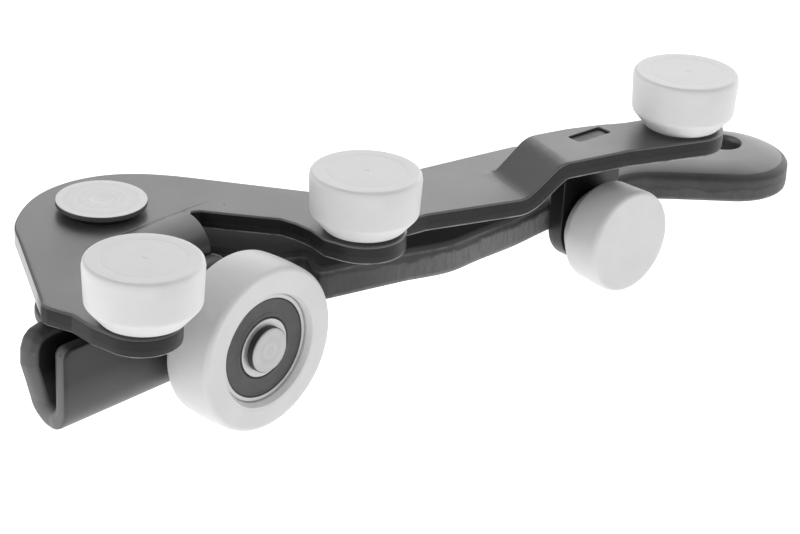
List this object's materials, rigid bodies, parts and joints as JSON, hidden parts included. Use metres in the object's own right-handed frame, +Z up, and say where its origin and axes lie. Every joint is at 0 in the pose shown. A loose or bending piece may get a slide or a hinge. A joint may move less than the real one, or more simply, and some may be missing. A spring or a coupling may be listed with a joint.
{
  "type": "sliding door roller carriage",
  "caption": "Pressed-steel roller carriage on a swing arm: guide rollers, a support roller and a larger load wheel that follow a door's track.",
  "frame": {"origin": "middle of the bore in the free end of the swing arm, halfway through the arm's thickness", "axes": "+Z up along the bore and the guide rollers' axes; the carriage reaches from the bore towards -X and -Y"},
  "size_m": [0.1874, 0.1621, 0.0612],
  "materials": {
    "pressed_steel": "satin",
    "arm_steel": "satin",
    "lug_steel": "satin",
    "turned_steel": "brushed",
    "roller_nylon": "matte",
    "wheel_nylon": "matte",
    "bearing_steel": "polished",
    "seal_rubber": "matte",
    "spacer_plastic": "matte",
    "bush_bronze": "satin"
  },
  "bodies": {
    "arm": {"swing_arm": "arm_steel", "pivot_sleeve": "bearing_steel"},
    "carriage": {"carriage_plate": "pressed_steel", "wheel_bracket": "pressed_steel", "bracket_rivets": "turned_steel", "pivot_rivet": "turned_steel", "pivot_spacer": "spacer_plastic", "pivot_washer": "arm_steel", "roller_lug": "lug_steel", "guide_pin_1": "turned_steel", "guide_pin_2": "turned_steel", "guide_pin_3": "turned_steel", "guide_washer_1": "turned_steel", "guide_washer_2": "turned_steel", "guide_washer_3": "turned_steel", "support_pin": "turned_steel", "support_washer": "turned_steel", "wheel_pin": "turned_steel", "wheel_spacer": "turned_steel", "bearing_inner_ring": "bearing_steel"},
    "guide_roller_1": {"guide_tyre_1": "roller_nylon", "guide_bush_1": "bush_bronze"},
    "guide_roller_2": {"guide_tyre_2": "roller_nylon", "guide_bush_2": "bush_bronze"},
    "guide_roller_3": {"guide_tyre_3": "roller_nylon", "guide_bush_3": "bush_bronze"},
    "support_roller": {"support_tyre": "roller_nylon", "support_bush": "bush_bronze"},
    "load_wheel": {"wheel_tyre": "wheel_nylon", "bearing_outer_ring": "bearing_steel", "bearing_balls": "bearing_steel", "bearing_cage": "bush_bronze", "bearing_seal_front": "seal_rubber", "bearing_seal_rear": "seal_rubber"}
  },
  "joints": [
    {"name": "carriage_swing", "type": "hinge", "parent": "arm", "child": "carriage", "pos_m": [-0.1522, -0.0822, 0], "axis": [0, 0, 1], "range_deg": [-45, 0]},
    {"name": "guide_spin_1", "type": "hinge", "parent": "carriage", "child": "guide_roller_1", "pos_m": [-0.13605, -0.1372, 0.02072], "axis": [0, 0, 1], "continuous": true},
    {"name": "guide_spin_2", "type": "hinge", "parent": "carriage", "child": "guide_roller_2", "pos_m": [-0.0916, -0.0856, 0.02072], "axis": [0, 0, 1], "continuous": true},
    {"name": "guide_spin_3", "type": "hinge", "parent": "carriage", "child": "guide_roller_3", "pos_m": [-0.0151, -0.03145, 0.02822], "axis": [0, 0, 1], "continuous": true},
    {"name": "support_spin", "type": "hinge", "parent": "carriage", "child": "support_roller", "pos_m": [-0.03147, -0.04712, -0.0023], "axis": [0.682, -0.7314, 0], "continuous": true},
    {"name": "wheel_spin", "type": "hinge", "parent": "carriage", "child": "load_wheel", "pos_m": [-0.11513, -0.10741, -0.0062], "axis": [0.7547, -0.6561, 0], "continuous": true}
  ]
}
